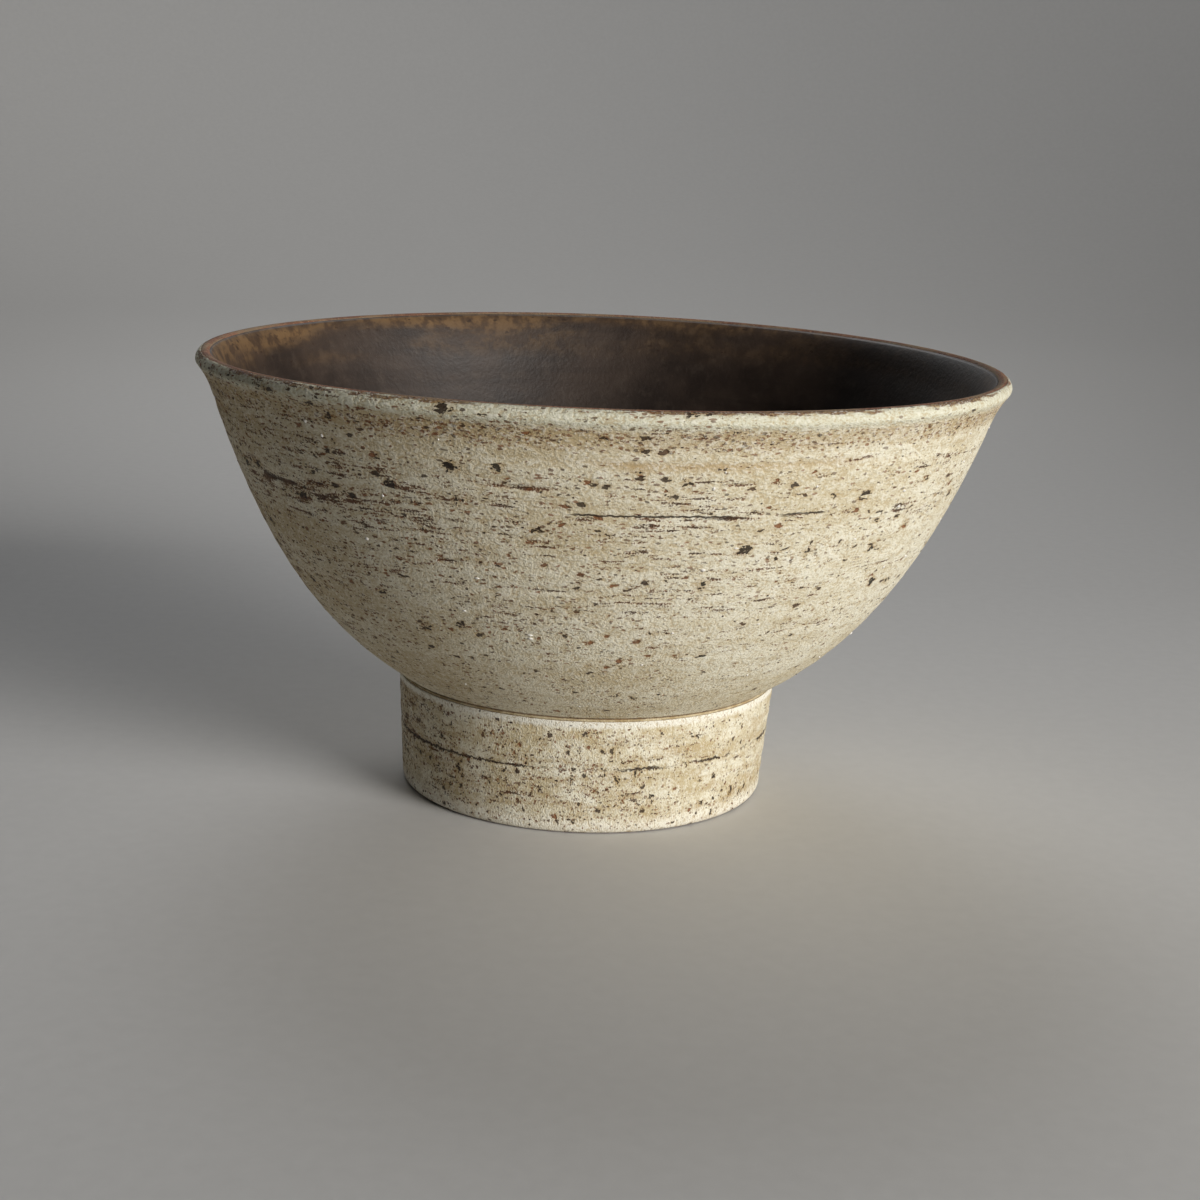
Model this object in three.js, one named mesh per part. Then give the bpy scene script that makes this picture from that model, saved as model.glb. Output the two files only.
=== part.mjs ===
// A hand-thrown stoneware bowl that stands on a high foot ring.
// The bowl and its foot ring are thrown apart and joined by a bead of luting slip.
// A pale slip coats the outside, and a dark glaze lines the inside.
// Sizes are in millimetres, +Z is up, and the origin is on the table under the middle of the rim.
import * as THREE from "three";

// The whole bowl
const RIM_DIAMETER = 220;
const HEIGHT = 121;
// The thrown wall leans a little, so the foot stands this far to the -X side of the rim's middle.
const FOOT_OFFSET = 2.2;

// The wall: slopes are in degrees from level, and a pull is how far the curve keeps its end's slope,
// as a share of the straight line from the seat to the neck.
const SEAT_SLOPE = 31;
const NECK_SLOPE = 71.5;
const SEAT_PULL = 0.335;
const NECK_PULL = 0.395;
const FLOOR_THICKNESS = 8;
const NECK_THICKNESS = 4.6;
// The underside hangs this far below the inner edge of its seat, inside the foot ring.
const BELLY_DROP = 5;

// The lip flares out from a neck: insets count from the widest point, drops from the crest.
const NECK_INSET = 4.1;
const NECK_DROP = 10.3;
const FLARE_SLOPE = 52.5;
const LIP_WIDTH = 2.4;
const LIP_DROP = 2.9;

// The foot ring
const FOOT_HEIGHT = 32;
const FOOT_TOP_DIAMETER = 106;
const FOOT_BASE_DIAMETER = 101.5;
const RING_WIDTH = 9.5;
const FOOT_EDGE = 2.5;

// The seam between the bowl and the ring: the slip in it stops short of the outside.
const SEAM_THICKNESS = 0.6;
const SEAM_DEPTH = 1.5;

// The coats, which thin out over a feather's length towards a bare edge
const SLIP_THICKNESS = 0.9;
const GLAZE_THICKNESS = 1.2;
const FEATHER = 5;
// The hairline between a coat and the clay that it covers
const BOND_GAP = 0.02;

// Two shallow lines left by a tool in the pale slip, one under the lip and one round the foot
const LINE_DEPTH = 0.5;
const LINE_WIDTH = 2.4;
const LIP_LINE_DROP = 13;
const FOOT_LINE_HEIGHT = 17.8;

// Flat faces round the bowl, and straight pieces along each stretch of its section
const FACETS = 48;
const UNDERSIDE_PIECES = 4;
const WALL_PIECES = 8;
const FLARE_PIECES = 3;
const ROLL_PIECES = 5;
const INNER_LIP_PIECES = 4;
const FOOT_EDGE_PIECES = 3;

const rimRadius = RIM_DIAMETER / 2;
const footTopRadius = FOOT_TOP_DIAMETER / 2;
const footBaseRadius = FOOT_BASE_DIAMETER / 2;

// A point in the section: x is the radius and y the height.
function point(radius, height) {
  return new THREE.Vector2(radius, height);
}

// The direction that climbs outwards at a slope
function uphill(degrees) {
  const slope = THREE.MathUtils.degToRad(degrees);
  return point(Math.cos(slope), Math.sin(slope));
}

const upTheSeat = uphill(SEAT_SLOPE);
const upTheNeck = uphill(NECK_SLOPE);
const upTheFlare = uphill(FLARE_SLOPE);
const outOfTheSeat = point(upTheSeat.y, -upTheSeat.x);

function moved(start, direction, distance) {
  return start.clone().addScaledVector(direction, distance);
}

// A place on a curve that climbs the outside, with the direction that faces out of the clay there
function station(curve, share) {
  const along = curve.getTangent(share);
  return { at: curve.getPoint(share), out: point(along.y, -along.x) };
}

function stations(curve, pieces) {
  return Array.from({ length: pieces + 1 }, (_, i) => station(curve, i / pieces));
}

function inset(place, depth) {
  return moved(place.at, place.out, -depth);
}

// The share of a climbing curve at which it reaches a height, found by halving
function shareAtHeight(curve, height) {
  let low = 0;
  let high = 1;
  while (high - low > 1e-6) {
    const middle = (low + high) / 2;
    if (curve.getPoint(middle).y < height) low = middle;
    else high = middle;
  }
  return low;
}

// A shallow tool line across a climbing curve: its lower edge, its bottom and its upper edge
function toolLine(curve, height) {
  const edge = (side) => station(curve, shareAtHeight(curve, height + (side * LINE_WIDTH) / 2)).at;
  const bottom = inset(station(curve, shareAtHeight(curve, height)), LINE_DEPTH);
  return [edge(-1), bottom, edge(1)];
}

// The visible face of a coat: its plain stations, with a tool line cut in between them
function lined(places, line) {
  const plain = places.map((place) => place.at);
  const below = plain.filter((p) => p.y < line[0].y);
  const above = plain.filter((p) => p.y > line[2].y);
  return [...below, ...line, ...above];
}

// How deep a coat lies at each place: its full depth, thinning to nothing at each bare end
function coatDepths(places, depth, bareStart, bareEnd) {
  const walked = [0];
  for (let i = 1; i < places.length; i += 1) {
    walked.push(walked[i - 1] + places[i].at.distanceTo(places[i - 1].at));
  }
  const whole = walked[walked.length - 1];
  return walked.map((distance) => {
    const fromStart = bareStart ? distance / FEATHER : 1;
    const fromEnd = bareEnd ? (whole - distance) / FEATHER : 1;
    return depth * Math.min(1, fromStart, fromEnd);
  });
}

// The back of a coat, and the clay behind it across the bond gap
function coatBacks(places, depths) {
  return places.map((place, i) => inset(place, depths[i]));
}

function clayBehind(places, depths) {
  return places.map((place, i) => inset(place, depths[i] + BOND_GAP));
}

function closed(outline) {
  return [...outline, outline[0].clone()];
}

// The lean: every level slides along X in step with its height, and the widest level stays put.
const widestHeight = HEIGHT - LIP_DROP;
const leanRate = FOOT_OFFSET / widestHeight;
const lean = new THREE.Matrix4()
  .makeTranslation(-FOOT_OFFSET, 0, 0)
  .multiply(new THREE.Matrix4().makeShear(0, 0, 0, 0, leanRate, 0));

function turned(name, outline, color, roughness) {
  const geometry = new THREE.LatheGeometry(outline, FACETS);
  geometry.rotateX(Math.PI / 2);
  geometry.applyMatrix4(lean);
  const material = new THREE.MeshStandardMaterial({ color, roughness, metalness: 0 });
  const mesh = new THREE.Mesh(geometry, material);
  mesh.name = name;
  return mesh;
}

// The seat, a cone on which the foot ring is luted: the ring's top edge, and the bowl's side of the seam
const ringTop = point(footTopRadius, FOOT_HEIGHT);
const seatOuter = moved(ringTop, outOfTheSeat, -SEAM_THICKNESS);
const seatLength = RING_WIDTH / upTheSeat.x;
const seatInner = moved(seatOuter, upTheSeat, -seatLength);

// The underside, level on the axis and running into the seat
const undersideHeight = seatInner.y - BELLY_DROP;
const undersideTurn = moved(seatInner, upTheSeat, -BELLY_DROP / upTheSeat.y);
const underside = new THREE.QuadraticBezierCurve(point(0, undersideHeight), undersideTurn, seatInner);

// The wall, one sweep from the seat to the neck
const neck = point(rimRadius - NECK_INSET, HEIGHT - NECK_DROP);
const sweep = neck.distanceTo(seatOuter);
const wall = new THREE.CubicBezierCurve(
  seatOuter,
  moved(seatOuter, upTheSeat, SEAT_PULL * sweep),
  moved(neck, upTheNeck, -NECK_PULL * sweep),
  neck,
);

// The lip, which leaves the neck along the wall, flares to the widest point and rolls over to the crest
const widest = point(rimRadius, widestHeight);
const crest = point(rimRadius - LIP_WIDTH, HEIGHT);
const neckToWidest = widest.clone().sub(neck);
const flareStraight = neckToWidest.cross(upTheFlare) / upTheNeck.cross(upTheFlare);
const flare = new THREE.QuadraticBezierCurve(neck, moved(neck, upTheNeck, flareStraight), widest);
const roll = new THREE.EllipseCurve(crest.x, widest.y, LIP_WIDTH, LIP_DROP, 0, Math.PI / 2);

// The outside of the clay under its coat, from the axis to the crest
const undersidePlaces = stations(underside, UNDERSIDE_PIECES);
const wallPlaces = stations(wall, WALL_PIECES);
const flarePlaces = stations(flare, FLARE_PIECES).slice(1);
const rollPlaces = stations(roll, ROLL_PIECES).slice(1);
const shellPlaces = [...undersidePlaces, ...wallPlaces];

// The inside: the wall thins evenly from the floor to the neck, keeps the neck's slope and rounds over
// to the crest.
const insidePlaces = shellPlaces.map((place, i) => {
  const risen = i / (shellPlaces.length - 1);
  const thickness = THREE.MathUtils.lerp(FLOOR_THICKNESS, NECK_THICKNESS, risen);
  return { at: inset(place, thickness), out: place.out.clone().negate() };
});
const innerNeck = insidePlaces[insidePlaces.length - 1].at;
const innerTurn = moved(innerNeck, upTheNeck, (HEIGHT - innerNeck.y) / upTheNeck.y);
const innerLip = new THREE.QuadraticBezierCurve(innerNeck, innerTurn, crest);
const innerLipPlaces = stations(innerLip, INNER_LIP_PIECES).slice(1);
for (const place of innerLipPlaces) place.out.negate();

// Both coats stop one station short of the crest and leave it bare.
const slipPlaces = [...wallPlaces, ...flarePlaces, ...rollPlaces.slice(0, -1)];
const slipDepths = coatDepths(slipPlaces, SLIP_THICKNESS, true, true);
const glazePlaces = [...insidePlaces, ...innerLipPlaces.slice(0, -1)];
const glazeDepths = coatDepths(glazePlaces, GLAZE_THICKNESS, false, true);

// The foot ring's outside: a rounded lower edge, then a straight side that widens to the top edge,
// where the coat ends along the seat
const footBase = point(footBaseRadius, 0);
const upTheFoot = ringTop.clone().sub(footBase).normalize();
const footSideStart = moved(footBase, upTheFoot, FOOT_EDGE);
const footEdge = new THREE.QuadraticBezierCurve(point(footBaseRadius - FOOT_EDGE, 0), footBase, footSideStart);
const footSide = new THREE.LineCurve(footSideStart, ringTop);
const footPlaces = [...stations(footEdge, FOOT_EDGE_PIECES), { at: ringTop, out: upTheSeat }];

// The pale slip on the foot starts one station above the base.
const footSlipPlaces = footPlaces.slice(1);
const footSlipDepths = coatDepths(footSlipPlaces, SLIP_THICKNESS, true, false);

// The ring's inside, upright but for its rounded lower edge
const ringTopInner = moved(seatInner, outOfTheSeat, SEAM_THICKNESS);
const ringBaseInner = footBaseRadius - RING_WIDTH;
const ringInside = [ringTopInner, point(ringBaseInner, FOOT_EDGE), point(ringBaseInner + FOOT_EDGE, 0)];

function bowlBody() {
  const outside = [...undersidePlaces.map((place) => place.at), ...clayBehind(slipPlaces, slipDepths)];
  const inside = [...clayBehind(glazePlaces, glazeDepths), crest];
  return turned("bowl_body", [...outside, ...inside.toReversed()], 0x7a4a33, 0.85);
}

function exteriorSlip() {
  const face = lined(slipPlaces, toolLine(wall, HEIGHT - LIP_LINE_DROP));
  const section = [...face, ...coatBacks(slipPlaces, slipDepths).toReversed()];
  return turned("exterior_slip", closed(section), 0xd3c6a2, 0.8);
}

function interiorGlaze() {
  const face = glazePlaces.map((place) => place.at);
  const section = [...coatBacks(glazePlaces, glazeDepths), ...face.toReversed()];
  return turned("interior_glaze", section, 0x33261e, 0.45);
}

function footRing() {
  const outline = [footPlaces[0].at, ...clayBehind(footSlipPlaces, footSlipDepths), ...ringInside];
  return turned("foot_ring", closed(outline), 0x7a4a33, 0.85);
}

function footSlip() {
  const face = lined(footSlipPlaces, toolLine(footSide, FOOT_LINE_HEIGHT));
  const section = [...face, ...coatBacks(footSlipPlaces, footSlipDepths).toReversed()];
  return turned("foot_slip", closed(section), 0xc9b78d, 0.8);
}

// The luting slip fills the seam from the ring's inside nearly to its outside.
function lutingSlip() {
  const bowlSide = moved(seatOuter, upTheSeat, -SEAM_DEPTH);
  const ringSide = moved(bowlSide, outOfTheSeat, SEAM_THICKNESS);
  return turned("luting_slip", closed([ringSide, bowlSide, seatInner, ringTopInner]), 0x8a5d43, 0.9);
}

const bowl = new THREE.Group();
bowl.name = "footed_bowl";
bowl.add(bowlBody(), footRing(), lutingSlip(), exteriorSlip(), footSlip(), interiorGlaze());

export default bowl;
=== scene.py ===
# The looks of a hand-thrown stoneware bowl on a high foot ring.
# A pale speckled slip covers the outside and a dark satin glaze the inside. The clay shows where they stop.
# Lengths are in metres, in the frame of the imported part.
import math

import bmesh
import bpy
import numpy as np
from mathutils import Matrix, Vector


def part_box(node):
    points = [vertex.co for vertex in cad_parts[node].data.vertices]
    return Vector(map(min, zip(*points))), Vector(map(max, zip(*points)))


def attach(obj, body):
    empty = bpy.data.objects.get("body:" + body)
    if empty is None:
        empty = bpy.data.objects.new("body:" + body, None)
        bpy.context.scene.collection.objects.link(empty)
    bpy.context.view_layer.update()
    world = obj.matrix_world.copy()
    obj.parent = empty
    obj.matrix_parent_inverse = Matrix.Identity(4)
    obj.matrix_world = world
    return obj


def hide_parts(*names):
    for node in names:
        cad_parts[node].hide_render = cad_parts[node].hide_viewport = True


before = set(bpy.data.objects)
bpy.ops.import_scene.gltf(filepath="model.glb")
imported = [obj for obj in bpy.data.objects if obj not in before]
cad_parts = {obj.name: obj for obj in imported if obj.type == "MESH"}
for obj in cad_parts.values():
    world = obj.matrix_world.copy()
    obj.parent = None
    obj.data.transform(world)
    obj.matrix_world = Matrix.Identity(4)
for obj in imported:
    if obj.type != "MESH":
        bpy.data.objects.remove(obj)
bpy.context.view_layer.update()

MM = 0.001


# Sizes read from the frame

def half_width(node):
    low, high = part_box(node)
    return (high.y - low.y) / 2


RIM_RADIUS = half_width("exterior_slip")
RIM_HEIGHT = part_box("bowl_body")[1].z
FOOT_RADIUS = half_width("foot_slip")
FOOT_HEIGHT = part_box("foot_slip")[1].z
FOOT_SHIFT = sum(corner.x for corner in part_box("foot_slip")) / 2

# The section's own sizes, as the part has them
SEAT_SLOPE = math.radians(31)
NECK_SLOPE = math.radians(71.5)
FLARE_SLOPE = math.radians(52.5)
SEAT_PULL = 0.335
NECK_PULL = 0.395
FLOOR_THICKNESS = 8 * MM
NECK_THICKNESS = 4.6 * MM
BELLY_DROP = 5 * MM
NECK_INSET = 4.1 * MM
NECK_DROP = 10.3 * MM
LIP_WIDTH = 2.4 * MM
LIP_DROP = 2.9 * MM
FOOT_TAPER = 2.25 * MM
RING_WIDTH = 9.5 * MM
FOOT_EDGE = 2.5 * MM
SEAM_THICKNESS = 0.6 * MM
SLIP_THICKNESS = 0.9 * MM
GLAZE_THICKNESS = 1.2 * MM
FEATHER = 5 * MM
BOND_GAP = 0.02 * MM
LIP_LINE_HEIGHT = RIM_HEIGHT - 13 * MM
FOOT_LINE_HEIGHT = 17.8 * MM
# The lip's outer edge is worn round over this length on both sides of its widest point.
LIP_WEAR = 0.7 * MM
# The rim sags this much at its left and right, fading out towards the middle of the wall.
RIM_SAG = 0.75 * MM
SAG_FROM = 60 * MM
# The slip stops at this share of the outer roll, and the glaze at this share of the inner lip.
SLIP_END = 0.8
GLAZE_END = 0.75
# The foot's slip starts at this share of the rounded lower edge.
FOOT_SLIP_START = 1 / 3

# Columns of faces round the coats and round the clay, and the spacing of their rows
COAT_COLUMNS = 400
CLAY_COLUMNS = 240
FINE_ROW = 0.4 * MM
COARSE_ROW = 0.8 * MM
CLAY_ROW = 1.2 * MM
FINE_FROM = 64 * MM
BACK_STEP = 18

# The radius at which a pattern that runs round the wheel keeps its true length
WHEEL_RADIUS = 95 * MM
SEED = 11


# Curves of the section: a point is (radius, height).

def point(radius, height):
    return np.array([radius, height])


def bezier(points, pieces=240):
    share = np.linspace(0, 1, pieces + 1)[:, None]
    run = [p + 0 * share for p in points]
    while len(run) > 1:
        run = [a + (b - a) * share for a, b in zip(run, run[1:])]
    return run[0]


def quarter_ellipse(centre, width, height, pieces=120):
    turn = np.linspace(0, math.pi / 2, pieces + 1)
    return centre + np.stack([width * np.cos(turn), height * np.sin(turn)], axis=1)


def walked(line):
    steps = np.linalg.norm(np.diff(line, axis=0), axis=1)
    return np.concatenate([[0], np.cumsum(steps)])


def joined(*lines):
    return np.concatenate([lines[0]] + [line[1:] for line in lines[1:]])


def at_distances(line, distances):
    along = walked(line)
    return np.stack([np.interp(distances, along, line[:, k]) for k in range(2)], axis=1)


def evenly(line, spacing):
    length = walked(line)[-1]
    return at_distances(line, np.linspace(0, length, max(2, round(length / spacing) + 1)))


def outward(line):
    """The way that a line which climbs the outside faces."""
    along = np.gradient(line, axis=0)
    out = np.stack([along[:, 1], -along[:, 0]], axis=1)
    return out / np.linalg.norm(out, axis=1, keepdims=True)


def first_share(line, share):
    return line[: round(share * (len(line) - 1)) + 1]


def last_share(line, share):
    return line[round(share * (len(line) - 1)):]


def rounded(first, second, reach):
    """Two lines that meet, with the corner between them rounded off."""
    start = walked(first)[-1] - reach
    before = at_distances(first, np.linspace(0, start, len(first)))
    after = at_distances(second, np.linspace(reach, walked(second)[-1], len(second)))
    return joined(before, bezier([before[-1], first[-1], after[0]], 24), after)


def smooth_step(value, start, end):
    share = np.clip((value - start) / (end - start), 0, 1)
    return share * share * (3 - 2 * share)


def uphill(slope):
    return point(math.cos(slope), math.sin(slope))


def cross(first, second):
    return first[0] * second[1] - first[1] * second[0]


up_the_seat = uphill(SEAT_SLOPE)
up_the_neck = uphill(NECK_SLOPE)
up_the_flare = uphill(FLARE_SLOPE)
out_of_the_seat = point(up_the_seat[1], -up_the_seat[0])

# The seat, on which the foot ring is luted, and the underside inside the ring
ring_top = point(FOOT_RADIUS, FOOT_HEIGHT)
seat_outer = ring_top - SEAM_THICKNESS * out_of_the_seat
seat_inner = seat_outer - RING_WIDTH / math.cos(SEAT_SLOPE) * up_the_seat
belly_height = seat_inner[1] - BELLY_DROP
belly_turn = seat_inner - BELLY_DROP / up_the_seat[1] * up_the_seat
underside = bezier([point(0, belly_height), belly_turn, seat_inner])

# The wall, the flare of the lip and its roll to the crest
neck = point(RIM_RADIUS - NECK_INSET, RIM_HEIGHT - NECK_DROP)
sweep = np.linalg.norm(neck - seat_outer)
wall_start = seat_outer + SEAT_PULL * sweep * up_the_seat
wall_end = neck - NECK_PULL * sweep * up_the_neck
wall = bezier([seat_outer, wall_start, wall_end, neck])
widest = point(RIM_RADIUS, RIM_HEIGHT - LIP_DROP)
flare_straight = cross(widest - neck, up_the_flare) / cross(up_the_neck, up_the_flare)
flare = bezier([neck, neck + flare_straight * up_the_neck, widest])
roll = quarter_ellipse(widest - point(LIP_WIDTH, 0), LIP_WIDTH, LIP_DROP)
crest = roll[-1]

# The inside, at a thickness that falls evenly over the part's 4 pieces of underside, 1 of seat and 8 of wall
risen = np.concatenate([np.linspace(0, 4, len(underside)), np.linspace(5, 13, len(wall))]) / 13
thickness = FLOOR_THICKNESS + (NECK_THICKNESS - FLOOR_THICKNESS) * risen
shell_out = np.concatenate([outward(underside), outward(wall)])
inside = np.concatenate([underside, wall]) - shell_out * thickness[:, None]
inside[0, 0] = 0
inner_rise = (crest[1] - inside[-1, 1]) / up_the_neck[1]
inner_lip = bezier([inside[-1], inside[-1] + inner_rise * up_the_neck, crest])

# The foot ring's outside
foot_base = point(FOOT_RADIUS - FOOT_TAPER, 0)
up_the_foot = (ring_top - foot_base) / np.linalg.norm(ring_top - foot_base)
foot_edge = bezier([foot_base - point(FOOT_EDGE, 0), foot_base, foot_base + FOOT_EDGE * up_the_foot])

# The lean of the whole pot, which leaves its widest level in place
lean_rate = FOOT_SHIFT / (FOOT_HEIGHT - widest[1])


def rim_sag(angle, height):
    share = np.clip((height - SAG_FROM) / (RIM_HEIGHT - SAG_FROM), 0, 1)
    return RIM_SAG * np.cos(angle) ** 2 * share ** 2


# Rows of a turned mesh

class Rows:
    """Places in the section, the ways they face, their distance along it, and how much relief they take."""

    def __init__(self, at, out, climb, cover):
        self.at = at
        self.out = out
        self.climb = climb
        self.cover = cover

    def backwards(self):
        return Rows(self.at[::-1], self.out[::-1], self.climb[::-1], self.cover[::-1])

    def then(self, other):
        return Rows(
            np.concatenate([self.at, other.at]),
            np.concatenate([self.out, other.out]),
            np.concatenate([self.climb, other.climb]),
            np.concatenate([self.cover, other.cover]),
        )


def bare_rows(line, cover=0.0):
    return Rows(line, outward(line), walked(line), np.full(len(line), cover))


def coat_depth(line, full, bare_start, bare_end):
    """How deep a coat lies along its face, thinning to nothing at a bare end."""
    along = walked(line)
    from_start = along / FEATHER if bare_start else np.ones_like(along)
    from_end = (along[-1] - along) / FEATHER if bare_end else np.ones_like(along)
    return full * np.minimum(1, np.minimum(from_start, from_end))


def coat_rows(line, depth, facing=1):
    """A coat's visible face, and its back with fewer rows."""
    out = facing * outward(line)
    face = Rows(line, out, walked(line), depth / depth.max())
    kept = np.arange(BACK_STEP, len(line) - 1, BACK_STEP)
    behind = line[kept] - out[kept] * depth[kept, None]
    back = Rows(behind, -out[kept], face.climb[kept], np.zeros(len(kept)))
    return face, back


def clay_under(line, depth, facing=1):
    return line - facing * outward(line) * (depth + BOND_GAP)[:, None]


# Surface relief, cut into a turned mesh by the angle round the pot and the climb up its section

def throwing_ridges(angle, climb, pitch, depth):
    """Soft ridges that wind up the pot, stronger here and fainter there."""
    turns = climb / pitch - angle / (2 * math.pi)
    strength = 0.6 + 0.4 * np.sin(climb / (2.7 * pitch) + 1.3 * np.sin(angle + 0.8))
    return depth * strength * (0.5 + 0.5 * np.cos(2 * math.pi * turns))


def slow_wobble(angle, climb, depth):
    """The slight unevenness of a wall that was pulled up by hand."""
    waves = np.sin(2 * angle + 18 * climb) + 0.6 * np.sin(3 * angle - 31 * climb + 1.1)
    waves = waves + 0.4 * np.sin(5 * angle + 47 * climb + 2.3)
    return depth * (0.5 + 0.25 * waves)


def tool_line(climb, middle, width, depth):
    return depth * np.exp(-(((climb - middle) / width) ** 2))


class Drag:
    """A mark where a grain was dragged round under the tool."""

    def __init__(self, angle, climb, length, width, strength):
        self.angle = angle
        self.climb = climb
        self.length = length
        self.width = width
        self.strength = strength

    def field(self, angle, climb, radius):
        turn = (angle - self.angle + math.pi) % (2 * math.pi) - math.pi
        across = (climb - self.climb) / self.width
        along = np.abs(turn) * radius / (self.length / 2)
        return self.strength * np.exp(-across ** 2) * (1 - smooth_step(along, 0.4, 1.0))


def drag_field(drags, angle, climb, radius):
    field = np.zeros_like(angle)
    for drag in drags:
        near = np.abs(climb[:, 0] - drag.climb) < 3 * drag.width
        field[near] = np.maximum(field[near], drag.field(angle[near], climb[near], radius))
    return field


def turned(name, rows, columns, looped, relief=None, marks=None):
    """Turns rows round the axis. A looped section closes on itself, and any other ends on the axis."""
    ring, climb = np.meshgrid(np.linspace(0, 2 * math.pi, columns, endpoint=False), rows.climb)
    cover = np.repeat(rows.cover[:, None], columns, axis=1)
    cut = relief(ring, climb) * cover if relief else np.zeros_like(ring)
    radius = rows.at[:, :1] - rows.out[:, :1] * cut
    height = rows.at[:, 1:] - rows.out[:, 1:] * cut
    height = height - rim_sag(ring, height)
    centre = lean_rate * (height - widest[1])
    places = np.stack([centre + radius * np.cos(ring), radius * np.sin(ring), height], axis=2)
    wheel = np.stack([WHEEL_RADIUS * np.cos(ring), WHEEL_RADIUS * np.sin(ring), climb], axis=2)
    marked = marks(ring, climb) * cover if marks else np.zeros_like(ring)

    index = np.arange(ring.size).reshape(ring.shape)
    lower = index if looped else index[:-1]
    upper = np.roll(index, -1, axis=0) if looped else index[1:]
    quads = np.stack([lower, np.roll(lower, -1, 1), np.roll(upper, -1, 1), upper], axis=2)

    mesh = bpy.data.meshes.new(name)
    mesh.from_pydata(places.reshape(-1, 3).tolist(), [], quads.reshape(-1, 4).tolist())
    keep_on_points(mesh, "wheel", "FLOAT_VECTOR", "vector", wheel)
    keep_on_points(mesh, "cover", "FLOAT", "value", cover)
    keep_on_points(mesh, "marks", "FLOAT", "value", marked)
    if not looped:
        close_poles(mesh, columns)
    mesh.shade_smooth()
    return linked(name, mesh)


def keep_on_points(mesh, name, kind, field, values):
    layer = mesh.attributes.new(name, kind, "POINT")
    layer.data.foreach_set(field, values.astype(np.float32).ravel())


def close_poles(mesh, columns):
    """Draws the first and the last row, which lie on the axis, into one point each."""
    work = bmesh.new()
    work.from_mesh(mesh)
    work.verts.ensure_lookup_table()
    poles = work.verts[:columns] + work.verts[-columns:]
    bmesh.ops.remove_doubles(work, verts=poles, dist=1e-7)
    work.to_mesh(mesh)
    work.free()


def linked(name, data):
    piece = bpy.data.objects.new(name, data)
    bpy.context.scene.collection.objects.link(piece)
    return piece


# The pale slip on the wall

RIDGE_PITCH = 7.5 * MM
RIDGE_DEPTH = 0.09 * MM
COMB_PITCH = 1.5 * MM
COMB_FADE = 2 * MM
LIP_LINE_WIDTH = 1.4 * MM
LIP_LINE_DEPTH = 0.14 * MM
COMB_DEPTH = 0.07 * MM
WOBBLE_DEPTH = 0.25 * MM
DRAG_DEPTH = 0.32 * MM
DRAG_COUNT = 46
DRAGS_IN_A_ROW = 6

slip_line = joined(wall, rounded(flare, first_share(roll, SLIP_END), LIP_WEAR))


def climb_at(line, height):
    return np.interp(height, line[:, 1], walked(line))


def wall_face_line():
    start = climb_at(slip_line, FINE_FROM)
    end = walked(slip_line)[-1]
    coarse = np.linspace(0, start, round(start / COARSE_ROW), endpoint=False)
    fine = np.linspace(start, end, round((end - start) / FINE_ROW) + 1)
    return at_distances(slip_line, np.concatenate([coarse, fine]))


def front_drags():
    """The marks that stand out at the front: angle in degrees; height, length and width in mm; strength."""
    marks = [
        (-76, 95.2, 72, 0.34, 0.35),
        (-100, 101.2, 20, 0.6, 1.0),
        (-141, 93.8, 24, 0.6, 0.9),
        (-126, 92.6, 9, 0.6, 0.9),
        (-71.5, 103.1, 8, 0.5, 0.9),
        (-96, 74.5, 16, 0.5, 0.7),
        (-112, 80.5, 9, 0.5, 0.8),
    ]
    return [
        Drag(math.radians(angle), climb_at(slip_line, height * MM), length * MM, width * MM, strength)
        for angle, height, length, width, strength in marks
    ]


def scattered_drags():
    """Short marks that follow each other in rows, most of them on the upper half of the wall."""
    chance = np.random.default_rng(SEED)
    drags = []
    for _ in range(DRAG_COUNT):
        angle = chance.uniform(0, 2 * math.pi)
        height = RIM_HEIGHT - (16 + 52 * chance.beta(1.1, 2.0)) * MM
        for _ in range(chance.integers(2, DRAGS_IN_A_ROW)):
            angle = angle + chance.uniform(0.03, 0.16)
            climb = climb_at(slip_line, height) + chance.normal(0, 0.5 * MM)
            length = chance.uniform(2.5, 11) * MM
            width = chance.uniform(0.35, 0.6) * MM
            drags.append(Drag(angle, climb, length, width, chance.uniform(0.15, 0.6)))
    return drags


wall_drags = front_drags() + scattered_drags()


def wall_marks(angle, climb):
    return drag_field(wall_drags, angle, climb, WHEEL_RADIUS)


def wall_relief(angle, climb):
    comb_from = climb_at(slip_line, LIP_LINE_HEIGHT + 3 * MM)
    comb_to = climb_at(slip_line, widest[1])
    begun = smooth_step(climb, comb_from, comb_from + COMB_FADE)
    combed = begun * (1 - smooth_step(climb, comb_to - COMB_FADE, comb_to))
    line = tool_line(climb, climb_at(slip_line, LIP_LINE_HEIGHT), LIP_LINE_WIDTH, LIP_LINE_DEPTH)
    ridges = throwing_ridges(angle, climb, RIDGE_PITCH, RIDGE_DEPTH)
    combing = combed * throwing_ridges(angle, climb, COMB_PITCH, COMB_DEPTH)
    wobble = slow_wobble(angle, climb, WOBBLE_DEPTH)
    return ridges + combing + line + wobble + DRAG_DEPTH * wall_marks(angle, climb)


def slip_on_the_wall():
    line = wall_face_line()
    depth = coat_depth(line, SLIP_THICKNESS, True, True)
    face, back = coat_rows(line, depth)
    return turned("wall_slip", face.then(back.backwards()), COAT_COLUMNS, True, wall_relief, wall_marks)


# The pale slip on the foot

FOOT_BEAD = 0.8 * MM
FOOT_RIDGE_PITCH = 5.2 * MM
FOOT_RIDGE_DEPTH = 0.16 * MM
FOOT_WOBBLE = 0.2 * MM
FOOT_DRAG_COUNT = 40
LINE_WAVER = 0.8 * MM
LINE_TURN = 0.4

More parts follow.
